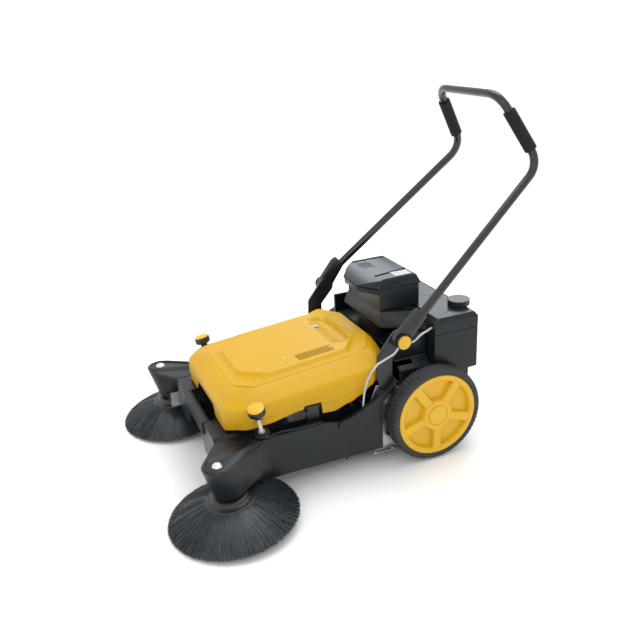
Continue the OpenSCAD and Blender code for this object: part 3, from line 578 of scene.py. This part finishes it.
RISE = math.tan(math.radians(4.9))      # slope of the cover's planes, up to the rear
SLITS, SLIT_START, SLIT_STEP, SLIT_WIDE = 18, -143, 6.4, 3.6
SKIN = 3                                # thickness of the moulding
HINGE = (163, -392, 214)                # middle of the near hinge knuckle
PATCH = Vector((-54, -20, 0))           # middle of the plain patch
SPANS = (64, 6, 90, 8, 64, 8, 90, 6)    # points along the front, near corner, near side and so on


def plan(x, y0, y1, front, rear, soft):
    """A cover outline with softened corners; every size gives the same number of points."""
    rx, ry = rear
    corners = [Vector(p) for p in ((front - x, y0), (x - front, y0), (x, y0 + front), (x, y1 - ry),
                                   (x - rx, y1), (rx - x, y1), (-x, y1 - ry), (-x, y0 + front))]
    ring = []
    for i, corner in enumerate(corners):
        after = corners[(i + 1) % 8]
        start = corner + (corners[i - 1] - corner).normalized() * soft
        end = corner + (after - corner).normalized() * soft
        stop = after + (corner - after).normalized() * soft
        ring += [start * (1 - t) ** 2 + corner * (2 * t * (1 - t)) + end * t * t
                 for t in (0, 0.2, 0.4, 0.6, 0.8)]
        ring += [end.lerp(stop, k / SPANS[i]) for k in range(SPANS[i])]
    return ring


def skirt(x, y):
    """Height of the cover's lower edge: two lobes in front, the latch notches and a rising rear end."""
    reach = abs(x)
    if y < -340:
        arch = 34 * (1 - step(82, 102, reach))
        return 208 + arch + 12 * step(180, 236, reach)
    if y > 70:
        return 272 + RISE * (y + 408) - 20
    if -179 < y < -123 and reach > 200:
        return 250
    run = [(-340, 220), (-290, 223), (-179, 240), (-123, 212), (-85, 210), (-32, 225), (8, 241), (40, 264),
           (70, 296)]
    for (a, low), (b, high) in zip(run, run[1:]):
        if y <= b:
            return low + (high - low) * step(a, b, y) ** (1 if high < 240 else 0.9)
    return 296


def panel_height(x, y):
    """The raised panel with its grip recess, whose rear wall rises to the plateau behind."""
    wall = 35 + 9 * (1 - (x / 110) ** 2)
    window = step(-124, -104, x) * (1 - step(82, 100, x))
    dip = 17 * step(-34, 30, y) * (1 - step(wall, wall + 10, y)) * window
    return 330 + RISE * (y + 318) - dip


def blended(a, b, c, before, after, count):
    """A soft bend at b between the rings a and c."""
    made = []
    for k in range(count):
        t = k / (count - 1)
        made.append([p.lerp(q, before) * (1 - t) ** 2 + q * (2 * t * (1 - t)) + q.lerp(r, after) * t * t
                     for p, q, r in zip(a, b, c)])
    return made


def cover_skin(inset):
    """Rings from the lower edge over the shoulder and the panel's flank to the middle."""
    def lifted(ring, height):
        return [Vector((p.x, p.y, height(p.x, p.y) - inset)) for p in ring]

    def plateau(y):
        return 14 * step(24, 84, y)
    low = [Vector((p.x, p.y, skirt(p.x, p.y))) for p in
           plan(241 - inset, -404 + inset, 118 - inset, 46, (94, 50), 20)]
    shoulder = lifted(plan(246 - inset, -408 + inset, 124 - inset, 46, (96, 52), 20),
                      lambda x, y: 272 + RISE * (y + 408))
    top = lifted(plan(186 - inset, -362 + inset, 110 - inset, 34, (92, 36), 13),
                 lambda x, y: 312 + RISE * (y + 362) + plateau(y))
    foot = lifted(plan(169 - inset, -331 + inset, 66 - inset, 77, (77, 60), 8),
                  lambda x, y: 313 + RISE * (y + 362) + plateau(y))
    edge = lifted(plan(154 - inset, -319 + inset, 54 - inset, 70, (70, 56), 8), panel_height)
    spine = [Vector((0, min(-70, max(-200, p.y)), 0)) for p in edge]
    rings = [low, [p.lerp(q, 0.4) for p, q in zip(low, shoulder)]]
    rings += blended(low, shoulder, top, 0.3, 0.2, 5)
    rings += [[p.lerp(q, 0.5) for p, q in zip(shoulder, top)]]
    rings += blended(shoulder, top, foot, 0.2, 0.5, 5)
    rings += blended(top, foot, edge, 0.3, 0.3, 4)
    rings += blended(foot, edge, spine, 0.3, 0.0, 4)[:3]
    inner = 40
    for k in range(inner + 1):
        ring = [p.lerp(q, k / inner) for p, q in zip(edge, spine)]
        rings.append([Vector((p.x, p.y, panel_height(p.x, p.y) - inset)) for p in ring])
    return rings


def make_cover():
    """The moulding with its slits, then the small pieces that it carries."""
    outer, inner = cover_skin(0), cover_skin(SKIN)
    points, faces = loft([[tuple(p) for p in ring] for ring in inner[::-1] + outer])
    shell = build("cover_shell", points, faces)
    work = bmesh.new()
    work.from_mesh(shell.data)
    bmesh.ops.remove_doubles(work, verts=work.verts, dist=0.05 * MM)
    bmesh.ops.dissolve_degenerate(work, edges=work.edges, dist=0.02 * MM)
    bmesh.ops.recalc_face_normals(work, faces=work.faces)
    work.to_mesh(shell.data)
    work.free()
    cuts = []
    for i in range(SLITS):
        y = SLIT_START + SLIT_STEP * i
        cuts.append(block((98, y, 300), (140, y + SLIT_WIDE, 400)))
    cutter = build("cover_cuts", *joined(*cuts))
    cut = shell.modifiers.new("slits", "BOOLEAN")
    cut.operation = "DIFFERENCE"
    cut.solver = "EXACT"
    cut.object = cutter
    settle(shell)
    bpy.data.objects.remove(cutter)
    piece(shell, "cover", "yellow_cover", ["cover"], 42)
    # Hinge knuckles under the front edge
    knuckles = []
    turn = Matrix.Rotation(math.radians(90), 4, "Y")
    for side in (-1, 1):
        place = Matrix.Translation((side * HINGE[0], *HINGE[1:])) @ turn
        knuckles.append(lathe([(4.1, -13), (9, -13), (9, 13), (4.1, 13)], place, 40, True))
    piece(build("cover_knuckles", *joined(*knuckles)), "cover", "yellow_cover")
    # A dark plate behind the slits, painted shade that darkens the slit openings
    slit_shade_plates = []
    for y0, y1 in ((-146, -90), (-90, -32)):
        z0, z1 = panel_height(118, y0) - 6, panel_height(118, y1) - 6
        slit_shade_plates.append(loft([[(94, y0, z0), (140, y0, z0), (140, y0, z0 - 1.5), (94, y0, z0 - 1.5)],
                                [(94, y1, z1), (140, y1, z1), (140, y1, z1 - 1.5), (94, y1, z1 - 1.5)]],
                               True, True))
    piece(build("cover_slit_shade_plate", *joined(*slit_shade_plates)), "cover", "dark_plastic")
    # Screws along the panel and a plain patch beside the recess
    shapes = []
    for x, y in ((118, -268), (96, -176), (112, -34), (-104, -24)):
        place = Matrix.Translation((x, y, panel_height(x, y)))
        shapes.append(lathe([(0.5, 0.9), (2.6, 0.6), (3.2, -1.5), (0.5, -1.5)], place, 24))
    piece(build("cover_screws", *joined(*shapes)), "cover", "zinc_fasteners")
    patch = block((-62, -40, 0), (-46, 0, 1.2))
    seat = Vector((0, 0, panel_height(PATCH.x, PATCH.y) - 0.6))
    tilt = Matrix.Translation(seat) @ Matrix.Rotation(math.atan(RISE), 4, "X")
    patch = [tuple(tilt @ (Vector(p) - PATCH) + PATCH) for p in patch[0]], patch[1]
    plate = build("cover_patch", *patch)
    bevelled(plate, 0.5)
    piece(plate, "cover", "label")


# ---------------------------------------------------------------- arms and battery lid

ARM_TOP = 198                   # height of the arms' flat top


def make_arms():
    """A boss ring under each hand screw."""
    stud = middle("near_adjuster_stud")
    ring = Matrix.Translation((stud.x, stud.y, ARM_TOP))
    boss = lathe([(9, -2), (9, 1.6), (13, 2.2), (20, 2.2), (23, 1.2), (24, -0.5), (24, -2)], ring, 60, True)
    pair("arm_boss", boss, "arm", "body_plastic")


def make_battery_box():
    """Panel ridges, crossed ribs and a plain plate on the battery lid."""
    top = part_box("battery_lid")[1].z / MM
    shapes = []
    for x0, y0, x1, y1 in ((58, 153, 40, 268), (102, 153, 100, 266), (-104, 153, -104, 266)):
        path = [(x0, y0, top), (x1, y1, top)]
        shapes.append(tube(smooth_path(path, 4), 3.0, 12))
    for x in (-92, -74, -56):
        shapes.append(tube([(x, 156, top - 0.5), (x + 34, 196, top - 0.5)], 1.6, 8))
        shapes.append(tube([(x + 34, 156, top - 0.5), (x, 196, top - 0.5)], 1.6, 8))
    piece(build("lid_ribs", *joined(*shapes)), "battery_lid", "body_plastic")
    plate = build("lid_plate", *block((52, 206, top - 0.5), (92, 262, top + 1.4)))
    bevelled(plate, 0.8)
    piece(plate, "battery_lid", "label")


def nose_ring(height, inset, steps=96):
    """Outline of the arm's nose at a height: the widest of its round column, shoulder and rear corners."""
    share = (height - 100) / 98
    circles = [(Vector((329 + 13 * share, -445 - 27 * share)), 42 + share),
               (Vector((291, -380)), 30 + 4 * share),
               (Vector((274, -306)), 0), (Vector((260, -306)), 0)]
    ring = []
    for k in range(steps):
        angle = 2 * math.pi * k / steps
        out = Vector((math.cos(angle), math.sin(angle)))
        place, radius = max(circles, key=lambda c: c[0].dot(out) + c[1])
        best = place + out * (radius + 1.2 - inset)
        ring.append((best.x, best.y, height))
    return ring


def make_noses():
    """A rounded skin over each arm's nose, and a bead along its top edge that runs on to the rear."""
    rounding = [(104, 0), (130, 0), (160, 0), (188, 0), (192, 0.4), (195.5, 1.6), (198, 3.8), (199.2, 7)]
    outer = [nose_ring(z, inset) for z, inset in rounding]
    inner = [nose_ring(z - 1.5, inset + 2) for z, inset in rounding]
    inner[0] = nose_ring(104, 2)
    skin = loft(inner[::-1] + outer, True, True)
    pair("arm_nose", skin, "arm", "body_plastic", None, 50)
    top = nose_ring(199.2, 9)
    outside = (top[-40:] + top[:10])[::3]
    path = smooth_path(outside + [(268, -290, 199.2), (268, -210, 199), (268, -136, 199)], 4)
    pair("arm_bead", tube(path, 2.2, 10), "arm", "body_plastic")


make_camera()
make_lights()
looks = make_materials()
make_floor()
dress_cad()
make_wheels()
make_brushes()
make_hand_screws()
make_clamps()
make_cover()
make_arms()
make_noses()
make_battery_box()
